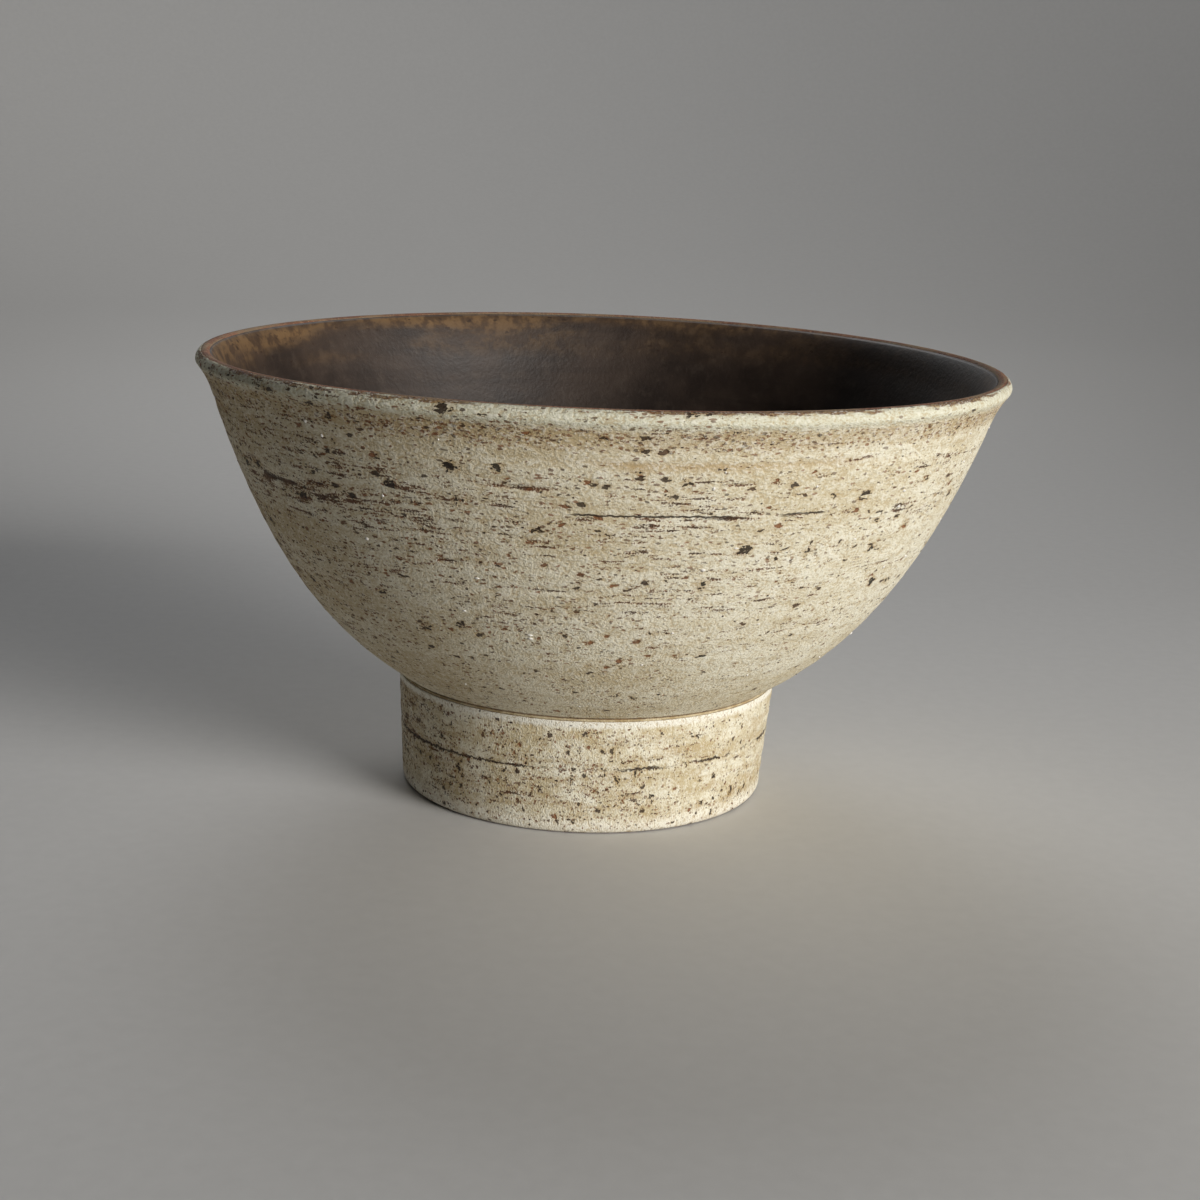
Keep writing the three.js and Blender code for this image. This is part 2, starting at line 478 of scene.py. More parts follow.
# The face climbs the side, rounds the top edge and runs a little way in along the seat.
foot_side_end = ring_top - FOOT_BEAD * up_the_foot
foot_bead = bezier([foot_side_end, ring_top, ring_top - FOOT_BEAD * up_the_seat], 40)
foot_side = np.stack([foot_edge[-1], foot_side_end])
foot_line = joined(last_share(foot_edge, FOOT_SLIP_START), foot_side, foot_bead)


def foot_drags():
    chance = np.random.default_rng(SEED + 1)
    return [
        Drag(
            chance.uniform(0, 2 * math.pi),
            chance.uniform(5, 29) * MM,
            chance.uniform(2, 9) * MM * WHEEL_RADIUS / FOOT_RADIUS,
            chance.uniform(0.4, 0.7) * MM,
            chance.uniform(0.3, 0.9),
        )
        for _ in range(FOOT_DRAG_COUNT)
    ]


foot_marks_made = foot_drags()
foot_line_climb = climb_at(foot_line[:1 - len(foot_bead)], FOOT_LINE_HEIGHT)


def foot_marks(angle, climb):
    """The drags on the foot, with the tool line that wavers round it."""
    middle = foot_line_climb + LINE_WAVER * np.cos(angle + LINE_TURN)
    line = tool_line(climb, middle, 0.5 * MM, 0.5)
    return np.maximum(line, drag_field(foot_marks_made, angle, climb, WHEEL_RADIUS))


def foot_relief(angle, climb):
    ridges = throwing_ridges(angle, climb, FOOT_RIDGE_PITCH, FOOT_RIDGE_DEPTH)
    return ridges + slow_wobble(angle, climb, FOOT_WOBBLE) + DRAG_DEPTH * foot_marks(angle, climb)


def slip_on_the_foot():
    line = evenly(foot_line, FINE_ROW)
    depth = coat_depth(line, SLIP_THICKNESS, True, False)
    face, back = coat_rows(line, depth)
    return turned("foot_slip_coat", face.then(back.backwards()), COAT_COLUMNS, True, foot_relief, foot_marks)


# The dark glaze inside

WREATH_PITCH = 11 * MM
WREATH_DEPTH = 0.3 * MM

glaze_line = joined(inside, first_share(inner_lip, GLAZE_END))


def glaze_relief(angle, climb):
    fade_in = smooth_step(climb, 4 * MM, 20 * MM)
    wreath = throwing_ridges(angle, climb, WREATH_PITCH, WREATH_DEPTH)
    return fade_in * (wreath + slow_wobble(angle, climb, WOBBLE_DEPTH))


def glaze_inside():
    line = evenly(glaze_line, COARSE_ROW)
    depth = coat_depth(line, GLAZE_THICKNESS, False, True)
    face, back = coat_rows(line, depth, facing=-1)
    pole = Rows(line[:1] - point(0, GLAZE_THICKNESS), np.array([[0, -1]]), np.zeros(1), np.zeros(1))
    rows = pole.then(back).then(face.backwards())
    return turned("glaze_lining", rows, CLAY_COLUMNS, False, glaze_relief)


# The clay: the bowl, the foot ring and the luting slip between them

TRIM_PITCH = 3.2 * MM
TRIM_DEPTH = 0.12 * MM
WIPED_DEPTH = 0.5 * MM


def trim_relief(angle, climb):
    return smooth_step(climb, 3 * MM, 8 * MM) * throwing_ridges(angle, climb, TRIM_PITCH, TRIM_DEPTH)


def thrown_bowl():
    slip_depth = coat_depth(slip_line, SLIP_THICKNESS, True, True)
    glaze_depth = coat_depth(glaze_line, GLAZE_THICKNESS, False, True)
    under_slip = evenly(clay_under(slip_line, slip_depth), CLAY_ROW)
    under_glaze = evenly(clay_under(glaze_line, glaze_depth, facing=-1), CLAY_ROW)
    under_glaze[0, 0] = 0
    bare_crest = joined(last_share(roll, SLIP_END), last_share(inner_lip, GLAZE_END)[::-1])
    trimmed = bare_rows(evenly(underside, 0.6 * MM), cover=1.0)
    rest = np.concatenate([under_slip, evenly(bare_crest, 0.3 * MM)[1:-1], under_glaze[::-1]])
    return turned("thrown_bowl", trimmed.then(bare_rows(rest)), CLAY_COLUMNS, False, trim_relief)


def thrown_foot_ring():
    line = joined(last_share(foot_edge, FOOT_SLIP_START), np.stack([foot_edge[-1], ring_top]))
    depth = coat_depth(line, SLIP_THICKNESS, True, False)
    under_slip = evenly(clay_under(line, depth), CLAY_ROW)
    under_slip[-1] = ring_top - (SLIP_THICKNESS + BOND_GAP) * up_the_seat
    seat_end = seat_inner + SEAM_THICKNESS * out_of_the_seat
    base_inner = foot_base[0] - RING_WIDTH
    edge_corner = point(base_inner, 0)
    edge_top = edge_corner + point(0, FOOT_EDGE)
    inner_edge = bezier([edge_top, edge_corner, edge_corner + point(FOOT_EDGE, 0)], 8)
    base = np.stack([inner_edge[-1], foot_edge[0]])
    inner_side = np.stack([seat_end, inner_edge[0]])
    lower_edge = evenly(first_share(foot_edge, FOOT_SLIP_START), 0.3 * MM)
    loop = np.concatenate([
        lower_edge[:-1], under_slip, evenly(inner_side, CLAY_ROW),
        inner_edge[1:], evenly(base, CLAY_ROW)[1:-1],
    ])
    return turned("thrown_foot_ring", bare_rows(loop), CLAY_COLUMNS, True)


def luting_bead():
    """The slip that was squeezed in the seam and wiped nearly flush with the outside."""
    inset = WIPED_DEPTH * up_the_seat
    bowl_side = seat_outer - inset
    ring_side = bowl_side + SEAM_THICKNESS * out_of_the_seat
    swell = bowl_side + SEAM_THICKNESS * (0.5 * out_of_the_seat + 0.5 * up_the_seat)
    outer_face = bezier([ring_side, swell, bowl_side], 6)
    seat_end = seat_inner + SEAM_THICKNESS * out_of_the_seat
    loop = np.concatenate([outer_face, seat_inner[None], seat_end[None]])
    return turned("luting_bead", bare_rows(loop), CLAY_COLUMNS, True)


# Shader wiring

def tone(red, green, blue):
    """A colour given as it looks on screen, from 0 to 255."""
    shares = [value / 255 for value in (red, green, blue)]
    linear = [s / 12.92 if s <= 0.04045 else ((s + 0.055) / 1.055) ** 2.4 for s in shares]
    return (*linear, 1.0)


class Wiring:
    """Adds nodes to one shader tree. Each call gives the socket that comes out."""

    def __init__(self, tree):
        self.tree = tree

    def node(self, kind, inputs, **settings):
        made = self.tree.nodes.new(kind)
        for name, value in settings.items():
            setattr(made, name, value)
        for socket, value in inputs.items():
            self.feed(made.inputs[socket], value)
        return made

    def feed(self, socket, value):
        if isinstance(value, bpy.types.NodeSocket):
            self.tree.links.new(value, socket)
        else:
            socket.default_value = value

    def math(self, operation, first, second=0.0):
        return self.node("ShaderNodeMath", {0: first, 1: second}, operation=operation).outputs[0]

    def total(self, *values):
        result = values[0]
        for value in values[1:]:
            result = self.math("ADD", result, value)
        return result

    def times(self, first, second):
        return self.math("MULTIPLY", first, second)

    def fade(self, value, start, end):
        inputs = {"Value": value, "From Min": start, "From Max": end}
        return self.node("ShaderNodeMapRange", inputs, interpolation_type="SMOOTHSTEP").outputs[0]

    def range(self, value, low, high):
        inputs = {"Value": value, "To Min": low, "To Max": high}
        return self.node("ShaderNodeMapRange", inputs).outputs[0]

    def blend(self, share, first, second):
        return self.node("ShaderNodeMix", {0: share, 6: first, 7: second}, data_type="RGBA").outputs[2]

    def noise(self, vector, scale, detail=2.0, roughness=0.5):
        inputs = {"Vector": vector, "Scale": scale, "Detail": detail, "Roughness": roughness}
        return self.node("ShaderNodeTexNoise", inputs).outputs[0]

    def moved(self, vector, offset):
        inputs = {0: vector, 1: offset}
        return self.node("ShaderNodeVectorMath", inputs, operation="ADD").outputs[0]

    def attribute(self, name, output="Fac"):
        return self.node("ShaderNodeAttribute", {}, attribute_name=name).outputs[output]

    def place(self):
        return self.node("ShaderNodeTexCoord", {}).outputs["Object"]

    def part(self, vector, axis):
        return self.node("ShaderNodeSeparateXYZ", {0: vector}).outputs[axis]

    def height(self):
        return self.part(self.place(), "Z")

    def climb(self):
        return self.part(self.attribute("wheel", "Vector"), "Z")

    def along(self, vector, direction):
        inputs = {0: vector, 1: direction}
        return self.node("ShaderNodeVectorMath", inputs, operation="DOT_PRODUCT").outputs["Value"]

    def leftness(self):
        """How far a place lies round to the left, from 0 to 1."""
        around = self.part(self.attribute("wheel", "Vector"), "X")
        return self.fade(around, WHEEL_RADIUS, -WHEEL_RADIUS)

    def levels(self, stops):
        """A value that follows the height above the table: stops are (height, value)."""
        share = self.math("DIVIDE", self.height(), RIM_HEIGHT)
        ramp = self.node("ShaderNodeValToRGB", {"Fac": share})
        elements = ramp.color_ramp.elements
        while len(elements) < len(stops):
            elements.new(0.5)
        for element, (height, value) in zip(elements, stops):
            element.position = height / RIM_HEIGHT
            element.color = (value, value, value, 1)
        return ramp.outputs["Color"]

    def group(self, tree, **inputs):
        placed = self.node("ShaderNodeGroup", {}, node_tree=tree)
        for label, value in inputs.items():
            self.feed(placed.inputs[label.replace("_", " ").capitalize()], value)
        return placed.outputs


def new_group(name, inputs, outputs):
    tree = bpy.data.node_groups.new(name, "ShaderNodeTree")
    for label, kind, value in inputs:
        socket = tree.interface.new_socket(label, in_out="INPUT", socket_type=kind)
        socket.default_value = value
    for label, kind in outputs:
        tree.interface.new_socket(label, in_out="OUTPUT", socket_type=kind)
    return tree, tree.nodes.new("NodeGroupInput").outputs, tree.nodes.new("NodeGroupOutput").inputs


VALUE = "NodeSocketFloat"
VECTOR = "NodeSocketVector"


def wheel_coordinates():
    """Places on the pot for patterns that the wheel draws out sideways, without a seam."""
    tree, given, result = new_group("wheel coordinates", [("Stretch", VALUE, 1.0)], [("Vector", VECTOR)])
    w = Wiring(tree)
    share = w.math("DIVIDE", 1.0, given["Stretch"])
    factor = w.node("ShaderNodeCombineXYZ", {"X": share, "Y": share, "Z": 1.0}).outputs[0]
    wheel = w.attribute("wheel", "Vector")
    drawn = w.node("ShaderNodeVectorMath", {0: wheel, 1: factor}, operation="MULTIPLY").outputs[0]
    w.feed(result["Vector"], drawn)
    return tree


def dragged_iron():
    """Ragged streaks in patches, each with a darker core, along the way that the vector is drawn out."""
    inputs = [
        ("Vector", VECTOR, (0, 0, 0)), ("Plain", VECTOR, (0, 0, 0)),
        ("Size", VALUE, 0.001), ("Amount", VALUE, 0.5),
    ]
    tree, given, result = new_group("dragged iron", inputs, [("Stain", VALUE), ("Core", VALUE)])
    w = Wiring(tree)
    scale = w.math("DIVIDE", 1.0, given["Size"])
    drawn = w.noise(given["Vector"], scale, 3.0, 0.6)
    ragged = w.noise(given["Plain"], w.times(scale, 2.2), 2.0)
    patch = w.noise(given["Vector"], w.times(scale, 0.13), 2.0)
    value = w.total(
        drawn,
        w.times(w.math("SUBTRACT", ragged, 0.5), 0.6),
        w.times(w.math("SUBTRACT", patch, 0.5), 0.4),
        w.times(w.math("SUBTRACT", given["Amount"], 1.0), 0.2),
    )
    w.feed(result["Stain"], w.fade(value, 0.58, 0.63))
    w.feed(result["Core"], w.fade(value, 0.65, 0.7))
    return tree


def iron_specks():
    """Separate burnt grains of iron: a random share of loosely spaced places, in random sizes and tints."""
    inputs = [
        ("Vector", VECTOR, (0, 0, 0)), ("Spacing", VALUE, 0.005),
        ("Share", VALUE, 0.4), ("Radius", VALUE, 0.0006),
    ]
    outputs = [("Speck", VALUE), ("Halo", VALUE), ("Tint", VALUE)]
    tree, given, result = new_group("iron specks", inputs, outputs)
    w = Wiring(tree)
    fine_noise = {"Vector": given["Vector"], "Scale": 1100.0, "Detail": 2.0}
    wander = w.node("ShaderNodeTexNoise", fine_noise).outputs["Color"]
    shift = w.node("ShaderNodeVectorMath", {0: wander, 1: (0.5, 0.5, 0.5)}, operation="SUBTRACT").outputs[0]
    reach = w.times(given["Radius"], 3.0)
    ragged = w.node("ShaderNodeVectorMath", {0: shift, "Scale": reach}, operation="SCALE").outputs[0]
    place = w.moved(given["Vector"], ragged)
    scale = w.math("DIVIDE", 1.0, given["Spacing"])
    cells = w.node("ShaderNodeTexVoronoi", {"Vector": place, "Scale": scale}).outputs
    chances = w.node("ShaderNodeSeparateColor", {0: cells["Color"]}).outputs
    distance = w.times(cells["Distance"], given["Spacing"])
    radius = w.times(given["Radius"], w.range(chances[1], 0.35, 1.2))
    there = w.math("LESS_THAN", chances[0], given["Share"])
    speck = w.math("SUBTRACT", 1.0, w.fade(distance, w.times(radius, 0.75), radius))
    halo = w.math("SUBTRACT", 1.0, w.fade(distance, radius, w.times(radius, 2.0)))
    w.feed(result["Speck"], w.times(speck, there))
    w.feed(result["Halo"], w.times(halo, there))
    w.feed(result["Tint"], chances[2])
    return tree


def clay_grain():
    """The sandy tooth of coarse clay and dry slip, as a height from 0 to 1."""
    inputs = [("Vector", VECTOR, (0, 0, 0)), ("Size", VALUE, 0.0005)]
    tree, given, result = new_group("clay grain", inputs, [("Height", VALUE)])
    w = Wiring(tree)
    scale = w.math("DIVIDE", 1.0, given["Size"])
    sand = w.noise(given["Vector"], scale, 2.0, 0.6)
    lumps = w.noise(given["Vector"], w.times(scale, 0.3), 2.0)
    w.feed(result["Height"], w.fade(w.total(w.times(sand, 0.65), w.times(lumps, 0.35)), 0.32, 0.68))
    return tree


def scored_line():
    """A thin line scratched round the pot, which may lean, and which shows where the wall faces one way."""
    inputs = [
        ("Middle", VALUE, 0.0), ("Width", VALUE, 0.0003), ("Ragged", VALUE, 0.001),
        ("Lean", VECTOR, (0, 0, 0)), ("Toward", VECTOR, (1, 0, 0)), ("Reach", VALUE, -1.1),
    ]
    tree, given, result = new_group("scored line", inputs, [("Line", VALUE)])
    w = Wiring(tree)
    round_the_pot = w.attribute("wheel", "Vector")
    rise = w.math("DIVIDE", w.along(round_the_pot, given["Lean"]), WHEEL_RADIUS)
    facing = w.math("DIVIDE", w.along(round_the_pot, given["Toward"]), WHEEL_RADIUS)
    shake = w.math("SUBTRACT", w.noise(round_the_pot, 650.0, 3.0, 0.6), 0.5)
    middle = w.total(given["Middle"], rise, w.times(shake, given["Ragged"]))
    off = w.math("ABSOLUTE", w.math("SUBTRACT", w.climb(), middle))
    line = w.math("SUBTRACT", 1.0, w.fade(off, w.times(given["Width"], 0.4), given["Width"]))
    shown = w.fade(facing, given["Reach"], w.total(given["Reach"], 0.01))
    w.feed(result["Line"], w.times(line, shown))
    return tree


wheel_group = wheel_coordinates()
drag_group = dragged_iron()
speck_group = iron_specks()
grain_group = clay_grain()
score_group = scored_line()


# Materials

CREAM = tone(227, 221, 199)
GREEN_CREAM = tone(212, 210, 188)
SAND = tone(202, 189, 156)
TAN = tone(180, 158, 118)
OCHRE = tone(170, 138, 86)
RUST = tone(130, 80, 44)
UMBER = tone(88, 58, 36)
BURNT = tone(46, 29, 18)
BLACK_GREEN = tone(34, 33, 27)
CHALK = tone(238, 234, 220)


def new_material(name):
    material = bpy.data.materials.new(name)
    material.use_nodes = True
    w = Wiring(material.node_tree)
    shader = material.node_tree.nodes["Principled BSDF"]
    return material, w, shader


def finish_material(w, shader, colour, roughness, height, depth):
    bump = w.node("ShaderNodeBump", {"Height": height, "Distance": depth})
    w.feed(shader.inputs["Base Color"], colour)
    w.feed(shader.inputs["Roughness"], roughness)
    w.feed(shader.inputs["Normal"], bump.outputs[0])


def wheel(w, stretch):
    return w.group(wheel_group, stretch=stretch)["Vector"]


def specks(w, stretch, spacing, share, radius):
    return w.group(speck_group, vector=wheel(w, stretch), spacing=spacing, share=share, radius=radius)


def scored(w, scores):
    """The lines scratched in a coat, broken here and there."""
    broken = w.fade(w.noise(wheel(w, 5.0), 300.0, 3.0), 0.4, 0.5)
    deepest = 0.0
    for score in scores:
        deepest = w.math("MAXIMUM", deepest, w.group(score_group, **score)["Line"])
    return w.times(deepest, broken)


def facing(degrees):
    turn = math.radians(degrees)
    return (math.cos(turn), math.sin(turn), 0)


def speckled_slip(name, zones, ground, scores):
    """Dry pale slip over iron-rich clay. Zones give, by height, how thick pepper, streaks and spots lie,
    ground is a function that colours the slip itself, and scores are the lines scratched in it."""
    material, w, shader = new_material(name)
    plain = wheel(w, 1.0)
    grain = w.group(grain_group, vector=wheel(w, 1.3), size=0.6 * MM)["Height"]
    patches = w.range(w.fade(w.noise(wheel(w, 3.0), 95.0, 3.0), 0.36, 0.64), 0.4, 1.6)
    thicker = w.times(patches, w.range(w.leftness(), 0.6, 1.3))
    burnt = w.range(w.leftness(), 0.6, 0.9)
    pepper_share = w.times(w.levels(zones["pepper"]), thicker)
    spot_share = w.times(w.levels(zones["spots"]), thicker)
    streak_amount = w.total(
        w.levels(zones["streaks"]), w.range(w.leftness(), -0.2, 0.16), w.times(w.attribute("marks"), 1.3),
    )
    fine = specks(w, 1.8, 0.95 * MM, pepper_share, 0.38 * MM)
    coarse = specks(w, 1.7, 2.4 * MM, spot_share, 0.66 * MM)
    spots = specks(w, 1.3, 6.2 * MM, spot_share, 1.3 * MM)
    streaks = w.group(drag_group, vector=wheel(w, 7.0), plain=plain, size=1.05 * MM, amount=streak_amount)
    iron = w.blend(w.fade(w.noise(wheel(w, 2.5), 420.0, 2.0), 0.4, 0.62), RUST, UMBER)

    colour = ground(w)
    # Painted shade and highlight: tan where the grain lies low and chalk-white where it stands high, a cavity
    # shading copied from the bump into the colour.
    colour = w.blend(w.times(w.fade(grain, 0.45, 0.1), 0.6), colour, TAN)
    colour = w.blend(w.times(w.fade(grain, 0.55, 0.95), 0.5), colour, CHALK)
    colour = w.blend(w.times(coarse["Halo"], 0.3), colour, OCHRE)
    colour = w.blend(w.times(spots["Halo"], 0.4), colour, OCHRE)
    colour = w.blend(w.times(streaks["Stain"], 0.66), colour, iron)
    colour = w.blend(w.times(fine["Speck"], burnt), colour, w.blend(fine["Tint"], RUST, BURNT))
    coarse_tone = w.blend(w.fade(coarse["Tint"], 0.2, 0.6), RUST, BURNT)
    colour = w.blend(w.times(coarse["Speck"], 0.88), colour, coarse_tone)
    colour = w.blend(w.times(streaks["Core"], 0.85), colour, w.blend(0.4, BURNT, iron))
    colour = w.blend(w.times(spots["Speck"], 0.93), colour, w.blend(spots["Tint"], BURNT, BLACK_GREEN))

    score = scored(w, scores)
    colour = w.blend(w.times(score, 0.9), colour, BURNT)

    dark = w.math("MAXIMUM", spots["Speck"], w.math("MAXIMUM", coarse["Speck"], streaks["Core"]))
    dark = w.math("MAXIMUM", dark, score)
    roughness = w.range(dark, 0.88, 0.6)
    height = w.math("SUBTRACT", w.times(grain, 0.35), w.times(dark, 0.8))
    finish_material(w, shader, colour, roughness, height, 0.4 * MM)
    shader.inputs["Specular IOR Level"].default_value = 0.3
    return material


# How far down from its upper end the wall's slip is worn through in dashes
CREST_WEAR = 1.3 * MM


def wall_ground(w):
    """The slip's colour on the wall: cream and sand, browner to the left, with a tan groove, an ochre line, a
    greener lip and a crest worn through in dashes. The brown to the left is partly the slip's own tan streaks
    and partly painted warm shade on the side turned away from the key light."""
    broad = w.noise(wheel(w, 3.0), 60.0, 3.0)
    streaks = w.noise(wheel(w, 10.0), 420.0, 3.0)
    threads = w.noise(wheel(w, 30.0), 1100.0, 3.0)
    colour = w.blend(w.times(w.fade(broad, 0.4, 0.68), 0.7), CREAM, SAND)
    colour = w.blend(w.times(w.fade(streaks, 0.48, 0.72), 0.5), colour, SAND)
    # Browner to the left: partly tan streaks in the slip, partly painted warm shade on the side away from the
    # key light.
    colour = w.blend(w.times(w.times(w.leftness(), broad), 0.7), colour, TAN)
    groove = w.levels([(0.1105, 0), (0.1125, 0.7), (0.1155, 0.7), (0.1175, 0)])
    groove = w.times(groove, w.range(broad, 0.2, 1.4))
    colour = w.blend(groove, colour, TAN)
    colour = w.blend(w.times(groove, w.times(w.fade(threads, 0.54, 0.64), 0.5)), colour, RUST)
    dust = specks(w, 1.3, 0.9 * MM, w.times(groove, 1.5), 0.46 * MM)
    colour = w.blend(w.times(dust["Speck"], 0.8), colour, w.blend(dust["Tint"], RUST, BURNT))
    lip = w.levels([(0.1158, 0), (0.1175, 0.85)])
    colour = w.blend(lip, colour, GREEN_CREAM)
    line = w.levels([(0.1055, 0), (0.108, 0.7), (0.11, 0)])
    colour = w.blend(w.times(line, w.fade(w.noise(wheel(w, 5.0), 120.0, 2.0), 0.5, 0.66)), colour, OCHRE)
    top = walked(slip_line)[-1]
    uneven = w.times(w.math("SUBTRACT", w.noise(wheel(w, 4.0), 900.0, 3.0), 0.5), 3 * CREST_WEAR)
    worn = w.fade(w.total(w.climb(), uneven), top - CREST_WEAR, top - 0.7 * CREST_WEAR)
    dashes = w.fade(w.noise(wheel(w, 8.0), 420.0, 4.0), 0.42, 0.5)
    return w.blend(w.times(w.times(worn, dashes), 0.9), colour, w.blend(threads, RUST, BURNT))


def foot_ground(w):
    """The slip's colour on the foot: thinner, so the clay tints it, and paler on its edges; the chalk-white
    along the top edge is partly wear and partly a painted highlight where the edge catches the light.
    """
    broad = w.noise(wheel(w, 2.0), 110.0, 3.0)
    streaks = w.noise(wheel(w, 10.0), 420.0, 3.0)
    colour = w.blend(w.fade(broad, 0.36, 0.62), CREAM, SAND)
    colour = w.blend(w.times(w.fade(streaks, 0.46, 0.68), 0.6), colour, TAN)
    # Paler at the lower edge, and chalk-white along the top edge: partly wear, partly a painted highlight
    # where the top edge catches the light.
    pale_edges_and_painted_highlight = w.levels([(0.0025, 0.7), (0.0055, 0), (0.0294, 0), (0.0302, 1)])
    return w.blend(pale_edges_and_painted_highlight, colour, CHALK)


def wall_score(height, width, ragged, toward, reach):
    """A scratch on the wall that runs this many degrees to both sides of the way it faces."""
    return {
        "middle": climb_at(slip_line, height), "width": width, "ragged": ragged,
        "toward": facing(toward), "reach": math.cos(math.radians(reach)),
    }


def wall_slip_finish():
    zones = {
        "pepper": [(0.036, 0.35), (0.066, 0.45), (0.09, 0.55), (0.105, 0.5), (0.108, 0.25), (0.1105, 0.4),
                   (0.1125, 1.0), (0.116, 1.0), (0.1178, 0.5)],
        "streaks": [(0.036, 0.5), (0.066, 0.7), (0.09, 0.84), (0.105, 0.86), (0.1085, 0.4),
                    (0.1125, 0.8), (0.1178, 0.5)],
        "spots": [(0.036, 0.2), (0.066, 0.35), (0.09, 0.5), (0.106, 0.55), (0.109, 0.2),
                  (0.1165, 0.35), (0.118, 0.25)],
    }
    scores = [
        wall_score(95.2 * MM, 0.34 * MM, 1.2 * MM, -76.5, 19.5),
        wall_score(94.7 * MM, 0.26 * MM, 1.6 * MM, -69, 8),
    ]
    return speckled_slip("speckled wall slip", zones, wall_ground, scores)


def foot_slip_finish():
    zones = {
        "pepper": [(0, 0.4), (0.006, 0.8), (0.029, 0.8), (0.0302, 0.1)],
        "streaks": [(0, 0.2), (0.008, 0.8), (0.029, 0.75), (0.0302, 0)],
        "spots": [(0, 0.3), (0.006, 0.65), (0.029, 0.6), (0.0302, 0)],
    }
    lean = (LINE_WAVER * math.cos(LINE_TURN), -LINE_WAVER * math.sin(LINE_TURN), 0)
    scores = [{"middle": foot_line_climb, "width": 0.42 * MM, "ragged": 2.4 * MM, "lean": lean}]
    return speckled_slip("speckled foot slip", zones, foot_ground, scores)


def dark_glaze_finish():
    material, w, shader = new_material("dark satin glaze")
    place = w.place()
    cloud = w.noise(place, 45.0, 4.0, 0.6)
    mottle = w.noise(place, 260.0, 3.0, 0.6)
    rings = w.noise(wheel(w, 20.0), 220.0, 3.0)
    grain = w.group(grain_group, vector=place, size=1.1 * MM)["Height"]
    colour = w.blend(w.fade(cloud, 0.35, 0.68), tone(44, 34, 28), tone(66, 53, 44))
    colour = w.blend(w.times(w.fade(mottle, 0.5, 0.72), 0.35), colour, tone(84, 72, 62))
    colour = w.blend(w.times(w.fade(rings, 0.5, 0.7), 0.35), colour, tone(36, 27, 22))
    band = w.levels([(0.107, 0), (0.113, 0.55), (0.119, 1)])
    patchy = w.fade(w.noise(wheel(w, 5.0), 130.0, 4.0), 0.34, 0.62)
    thick = w.times(w.times(band, patchy), w.range(w.leftness(), 0.3, 0.85))
    ochre = w.blend(w.fade(mottle, 0.4, 0.6), tone(84, 61, 38), tone(126, 96, 60))
    colour = w.blend(thick, colour, ochre)
    pits = specks(w, 1.5, 1.8 * MM, w.times(band, 0.5), 0.5 * MM)
    colour = w.blend(w.times(pits["Speck"], 0.7), colour, BURNT)
    roughness = w.total(w.range(cloud, 0.46, 0.62), w.times(thick, 0.25))
    finish_material(w, shader, colour, roughness, grain, 0.05 * MM)
    shader.inputs["Specular IOR Level"].default_value = 0.45
    return material


def stoneware_finish():
    """Bare clay, toasted red-brown, with a worn wash of slip on the crest."""
    material, w, shader = new_material("bare stoneware")
    place = w.place()
    cloud = w.noise(place, 90.0, 4.0, 0.6)
    grain = w.group(grain_group, vector=place, size=0.6 * MM)["Height"]
    pits = w.group(speck_group, vector=place, spacing=3.0 * MM, share=0.35, radius=0.4 * MM)
    dashes = w.noise(wheel(w, 10.0), 700.0, 4.0, 0.6)
    colour = w.blend(w.fade(cloud, 0.35, 0.7), tone(112, 68, 46), tone(146, 98, 68))
    colour = w.blend(w.times(w.fade(grain, 0.5, 0.9), 0.5), colour, tone(176, 138, 104))
    colour = w.blend(w.times(pits["Speck"], 0.8), colour, BURNT)
    crest_wash = w.times(w.levels([(0.1185, 0), (0.1192, 1)]), w.fade(dashes, 0.56, 0.44))
    colour = w.blend(w.times(crest_wash, 0.6), colour, tone(140, 126, 96))
    roughness = w.range(cloud, 0.78, 0.92)
    height = w.math("SUBTRACT", w.times(grain, 0.6), w.times(pits["Speck"], 0.7))
    finish_material(w, shader, colour, roughness, height, 0.25 * MM)
    return material


def luting_finish():
    material, w, shader = new_material("luting slip")
    place = w.place()
    cloud = w.noise(place, 300.0, 3.0)
    grain = w.group(grain_group, vector=place, size=0.5 * MM)["Height"]
    colour = w.blend(w.fade(cloud, 0.35, 0.7), tone(172, 150, 110), tone(208, 194, 160))
    finish_material(w, shader, colour, w.range(cloud, 0.8, 0.95), grain, 0.15 * MM)
    return material


def feldspar_finish():
    material, w, shader = new_material("feldspar grain")
    place = w.place()
    cloud = w.noise(place, 1400.0, 2.0)
    colour = w.blend(cloud, tone(206, 200, 190), tone(250, 248, 244))
    finish_material(w, shader, colour, w.range(cloud, 0.35, 0.6), cloud, 0.05 * MM)
    return material


def iron_finish():
    material, w, shader = new_material("iron grain")
    place = w.place()
    cloud = w.noise(place, 1400.0, 2.0)
    colour = w.blend(cloud, tone(24, 20, 17), tone(82, 56, 38))
    finish_material(w, shader, colour, w.range(cloud, 0.45, 0.75), cloud, 0.08 * MM)
    return material


# Grains that stand in the slip, scattered by geometry nodes

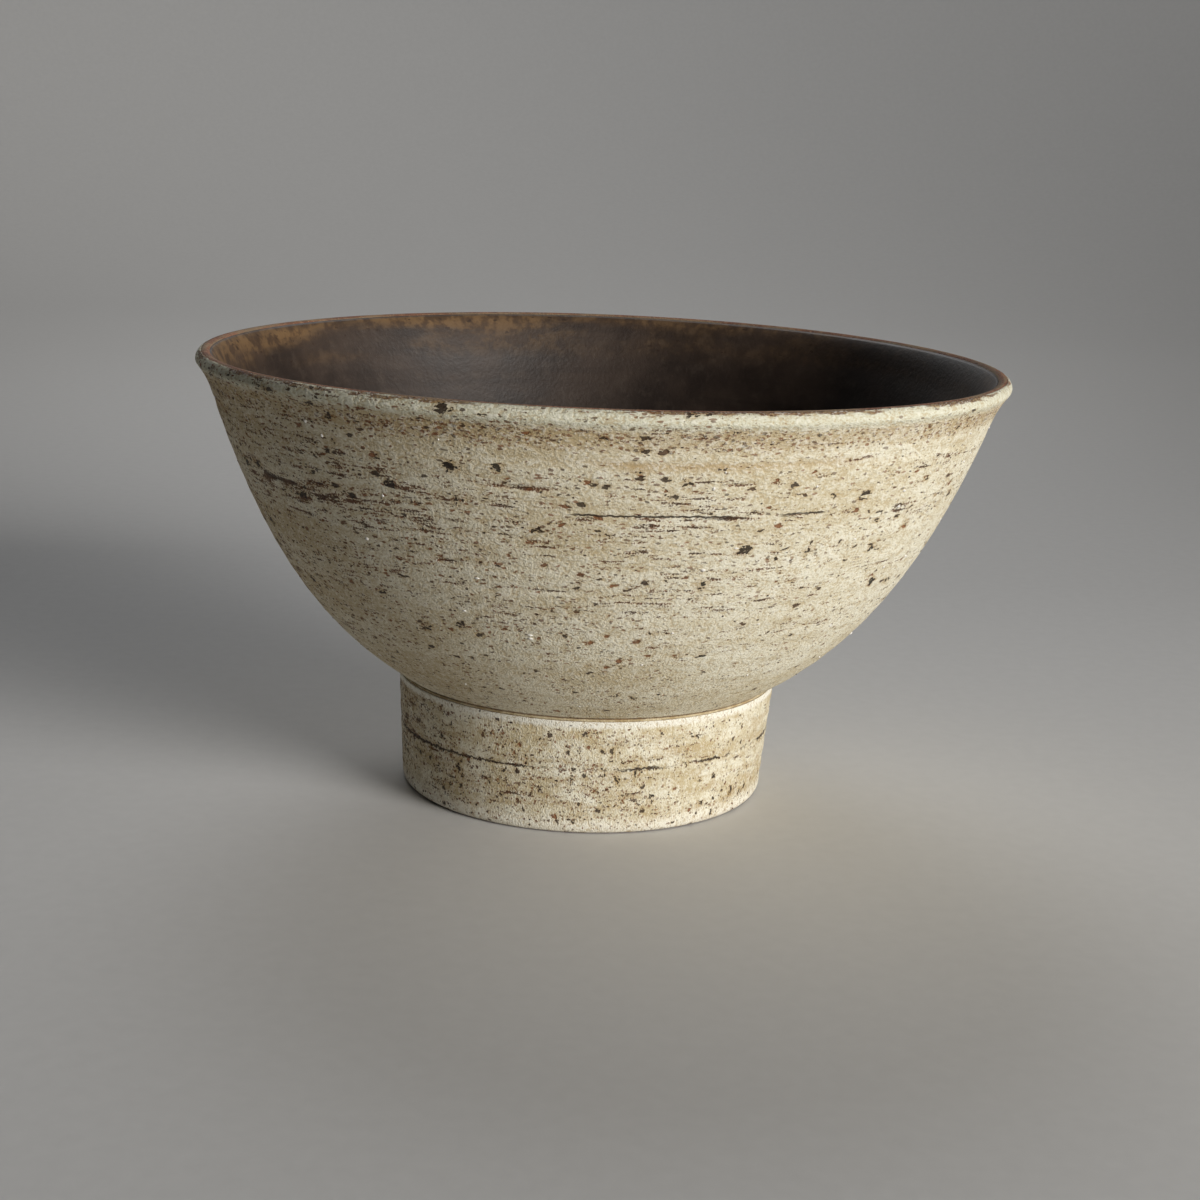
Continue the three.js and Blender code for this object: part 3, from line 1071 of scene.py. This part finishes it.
def grain_scatter():
    """Sows flattened grains over the part of a coat that shows."""
    tree = bpy.data.node_groups.new("grains in the slip", "GeometryNodeTree")
    tree.is_modifier = True
    sockets = [
        ("Geometry", "NodeSocketGeometry"), ("Grains per square metre", VALUE), ("Radius", VALUE),
        ("Sunk", VALUE), ("Lowest", VALUE), ("Highest", VALUE), ("Seed", "NodeSocketInt"),
        ("Finish", "NodeSocketMaterial"),
    ]
    for label, kind in sockets:
        tree.interface.new_socket(label, in_out="INPUT", socket_type=kind)
    tree.interface.new_socket("Geometry", in_out="OUTPUT", socket_type="NodeSocketGeometry")
    given = tree.nodes.new("NodeGroupInput").outputs
    result = tree.nodes.new("NodeGroupOutput").inputs
    w = Wiring(tree)

    place = w.node("GeometryNodeInputPosition", {}).outputs[0]
    height = w.part(place, "Z")
    above = w.math("GREATER_THAN", height, given["Lowest"])
    below = w.math("LESS_THAN", height, given["Highest"])
    named = w.node("GeometryNodeInputNamedAttribute", {"Name": "cover"}, data_type="FLOAT")
    cover = named.outputs["Attribute"]
    share = w.times(w.times(above, below), w.math("GREATER_THAN", cover, 0.5))
    density = w.times(share, given["Grains per square metre"])
    sown = w.node("GeometryNodeDistributePointsOnFaces", {
        "Mesh": given["Geometry"], "Density": density, "Seed": given["Seed"],
    }).outputs
    ball = {"Radius": given["Radius"], "Subdivisions": 1}
    lump = w.node("GeometryNodeMeshIcoSphere", ball).outputs["Mesh"]
    size = w.node("FunctionNodeRandomValue", {
        0: (0.35, 0.3, 0.3), 1: (1.5, 1.0, 0.7), "Seed": given["Seed"],
    }, data_type="FLOAT_VECTOR").outputs[0]
    placed = w.node("GeometryNodeInstanceOnPoints", {
        "Points": sown["Points"], "Instance": lump, "Rotation": sown["Rotation"], "Scale": size,
    }).outputs[0]
    down = w.node("ShaderNodeCombineXYZ", {"Z": w.times(given["Sunk"], -1.0)}).outputs[0]
    set_in = w.node("GeometryNodeTranslateInstances", {"Instances": placed, "Translation": down}).outputs[0]
    whole = w.node("GeometryNodeRealizeInstances", {"Geometry": set_in}).outputs[0]
    finished = w.node("GeometryNodeSetMaterial", {"Geometry": whole, "Material": given["Finish"]}).outputs[0]
    w.feed(result["Geometry"], finished)
    return tree


def sown_grains(name, coat, tree, **values):
    """The grains that a scatter tree sows on a coat, as a plain mesh."""
    host = linked(name + "_host", coat.data)
    modifier = host.modifiers.new("grains", "NODES")
    modifier.node_group = tree
    sockets = [item for item in tree.interface.items_tree if item.in_out == "INPUT"]
    identifiers = {socket.name: socket.identifier for socket in sockets}
    for label, value in values.items():
        modifier[identifiers[label.replace("_", " ").capitalize()]] = value
    bpy.context.view_layer.update()
    mesh = bpy.data.meshes.new_from_object(host.evaluated_get(bpy.context.evaluated_depsgraph_get()))
    bpy.data.objects.remove(host)
    mesh.shade_smooth()
    return linked(name, mesh)


# The stage: a pale round floor that turns up into a backdrop, a large soft key light, a weak light from
# behind and a wash on the backdrop

FLOOR_RADIUS = 1.3
BACKDROP_RADIUS = 2.2
BACKDROP_HEIGHT = 2.4
KEY_AZIMUTH = math.radians(-42)
KEY_ELEVATION = math.radians(14)
KEY_DISTANCE = 1.8
KEY_SIZE = 1.0
LIGHT_SPREAD = math.radians(60)
KEY_POWER = 5.4
KEY_COLOUR = (1.0, 0.98, 0.95)
BACK_AZIMUTH = math.radians(100)
BACK_ELEVATION = math.radians(42)
BACK_DISTANCE = 1.5
BACK_SIZE = 0.9
BACK_POWER = 0.9
BACK_COLOUR = (0.95, 0.97, 1.0)
WASH_AZIMUTH = math.radians(90)
WASH_ELEVATION = math.radians(50)
WASH_DISTANCE = 1.3
WASH_SIZE = 0.8
WASH_TILT = math.radians(62)
WASH_POWER = 6.0
ROOM_COLOUR = (0.8, 0.86, 1.0, 1.0)
ROOM_STRENGTH = 0.02


def pale_stage():
    bend = BACKDROP_RADIUS - FLOOR_RADIUS
    corner = point(BACKDROP_RADIUS, 0)
    floor = np.stack([point(0, 0), point(FLOOR_RADIUS / 2, 0), point(FLOOR_RADIUS, 0)])
    sweep_up = bezier([point(FLOOR_RADIUS, 0), corner, point(BACKDROP_RADIUS, bend)], 24)
    upright = np.stack([sweep_up[-1], point(BACKDROP_RADIUS, BACKDROP_HEIGHT)])
    line = joined(floor, sweep_up, upright)
    angle = np.linspace(0, 2 * math.pi, 96, endpoint=False)
    ring, radius = np.meshgrid(angle, line[:, 0])
    height = np.repeat(line[:, 1:], len(angle), axis=1)
    places = np.stack([radius * np.cos(ring), radius * np.sin(ring), height], axis=2)
    index = np.arange(ring.size).reshape(ring.shape)
    quads = np.stack([index[:-1], index[1:], np.roll(index[1:], -1, 1), np.roll(index[:-1], -1, 1)], axis=2)
    mesh = bpy.data.meshes.new("pale_stage")
    mesh.from_pydata(places.reshape(-1, 3).tolist(), [], quads.reshape(-1, 4).tolist())
    mesh.shade_smooth()
    material, w, shader = new_material("pale paper")
    place = w.place()
    fibres = w.noise(place, 220.0, 3.0)
    colour = w.blend(fibres, tone(200, 199, 197), tone(208, 207, 205))
    finish_material(w, shader, colour, w.range(fibres, 0.85, 0.95), fibres, 0.05 * MM)
    mesh.materials.append(material)
    stage = linked("pale_stage", mesh)


def soft_light(name, azimuth, elevation, distance, size, spread, power, colour):
    data = bpy.data.lights.new(name, "AREA")
    data.shape = "DISK"
    data.size = size
    data.spread = spread
    data.energy = power
    data.color = colour
    lamp = linked(name, data)
    aim = Vector((0, 0, RIM_HEIGHT / 2))
    flat = math.cos(elevation)
    way = Vector((flat * math.cos(azimuth), flat * math.sin(azimuth), math.sin(elevation)))
    lamp.location = aim + distance * way
    lamp.rotation_euler = way.to_track_quat("Z", "Y").to_euler()
    return lamp


def light_the_stage():
    soft_light(
        "key", KEY_AZIMUTH, KEY_ELEVATION, KEY_DISTANCE, KEY_SIZE, LIGHT_SPREAD, KEY_POWER, KEY_COLOUR,
    )
    soft_light(
        "back", BACK_AZIMUTH, BACK_ELEVATION, BACK_DISTANCE, BACK_SIZE, LIGHT_SPREAD, BACK_POWER, BACK_COLOUR,
    )
    wash = soft_light(
        "backdrop wash", WASH_AZIMUTH, WASH_ELEVATION, WASH_DISTANCE, WASH_SIZE, math.pi,
        WASH_POWER, (1, 1, 1),
    )
    wash.rotation_euler = (WASH_TILT, 0, 0)
    world = bpy.data.worlds.new("room")
    world.use_nodes = True
    backdrop = world.node_tree.nodes["Background"].inputs
    backdrop["Color"].default_value = ROOM_COLOUR
    backdrop["Strength"].default_value = ROOM_STRENGTH
    bpy.context.scene.world = world
    bpy.context.scene.view_settings.view_transform = "Standard"


# The camera, as far off, as high and as tilted as the photograph's
CAMERA_DISTANCE = 573.2 * MM
CAMERA_ELEVATION = 0.2157
CAMERA_ROLL = 0.0388
CAMERA_AIM = Vector((-1.03 * MM, 0, 62.86 * MM))
FOCAL_PIXELS = 2048.4
IMAGE_SIZE = 1200
# Where the point aimed at lies in the image, from its middle: right and down, in pixels
AIM_RIGHT = -7.1
AIM_DOWN = -39.8


def viewing_camera():
    data = bpy.data.cameras.new("camera")
    data.sensor_width = 36
    data.lens = data.sensor_width * FOCAL_PIXELS / IMAGE_SIZE
    data.clip_start = 0.01
    camera = linked("camera", data)
    back = Vector((0, -math.cos(CAMERA_ELEVATION), math.sin(CAMERA_ELEVATION)))
    right = Vector((1, 0, 0))
    facing = Matrix([right, back.cross(right), back]).transposed()
    pan = Matrix.Rotation(math.atan(AIM_RIGHT / FOCAL_PIXELS), 3, "Y")
    tilt = Matrix.Rotation(math.atan(AIM_DOWN / FOCAL_PIXELS), 3, "X")
    roll_turn = Matrix.Rotation(CAMERA_ROLL, 3, "Z")
    turn = facing @ roll_turn @ pan @ tilt
    camera.matrix_world = Matrix.Translation(CAMERA_AIM + CAMERA_DISTANCE * back) @ turn.to_4x4()
    bpy.context.scene.camera = camera


def dress(piece, material, slot, *nodes):
    if material:
        piece.data.materials.append(material)
    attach(piece, "root")
    if nodes:
        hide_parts(*nodes)


def make_bowl():
    stoneware = stoneware_finish()
    wall_coat = slip_on_the_wall()
    foot_coat = slip_on_the_foot()
    scatter = grain_scatter()
    feldspar = feldspar_finish()
    iron = iron_finish()
    wall_top = RIM_HEIGHT - 6 * MM
    white = {"grains_per_square_metre": 1600.0, "radius": 0.6 * MM, "sunk": 0.08 * MM, "finish": feldspar}
    dark = {"grains_per_square_metre": 9000.0, "radius": 0.36 * MM, "sunk": 0.1 * MM, "finish": iron}
    on_the_wall = {"lowest": FOOT_HEIGHT, "highest": wall_top}
    on_the_foot = {"lowest": FOOT_EDGE, "highest": FOOT_HEIGHT - 1.5 * MM}
    white_grains = sown_grains("feldspar_grains", wall_coat, scatter, seed=SEED, **white, **on_the_wall)
    dark_grains = sown_grains("iron_grains", wall_coat, scatter, seed=SEED + 4, **dark, **on_the_wall)
    foot_grains = sown_grains("foot_iron_grains", foot_coat, scatter, seed=SEED + 7, **dark, **on_the_foot)
    dress(wall_coat, wall_slip_finish(), "pale_slip", "exterior_slip")
    dress(foot_coat, foot_slip_finish(), "pale_slip", "foot_slip")
    dress(glaze_inside(), dark_glaze_finish(), "dark_glaze", "interior_glaze")
    dress(thrown_bowl(), stoneware, "stoneware", "bowl_body")
    dress(thrown_foot_ring(), stoneware, "stoneware", "foot_ring")
    dress(luting_bead(), luting_finish(), "luting", "luting_slip")
    dress(white_grains, None, "pale_slip")
    dress(dark_grains, None, "pale_slip")
    dress(foot_grains, None, "pale_slip")


make_bowl()
pale_stage()
light_the_stage()
viewing_camera()
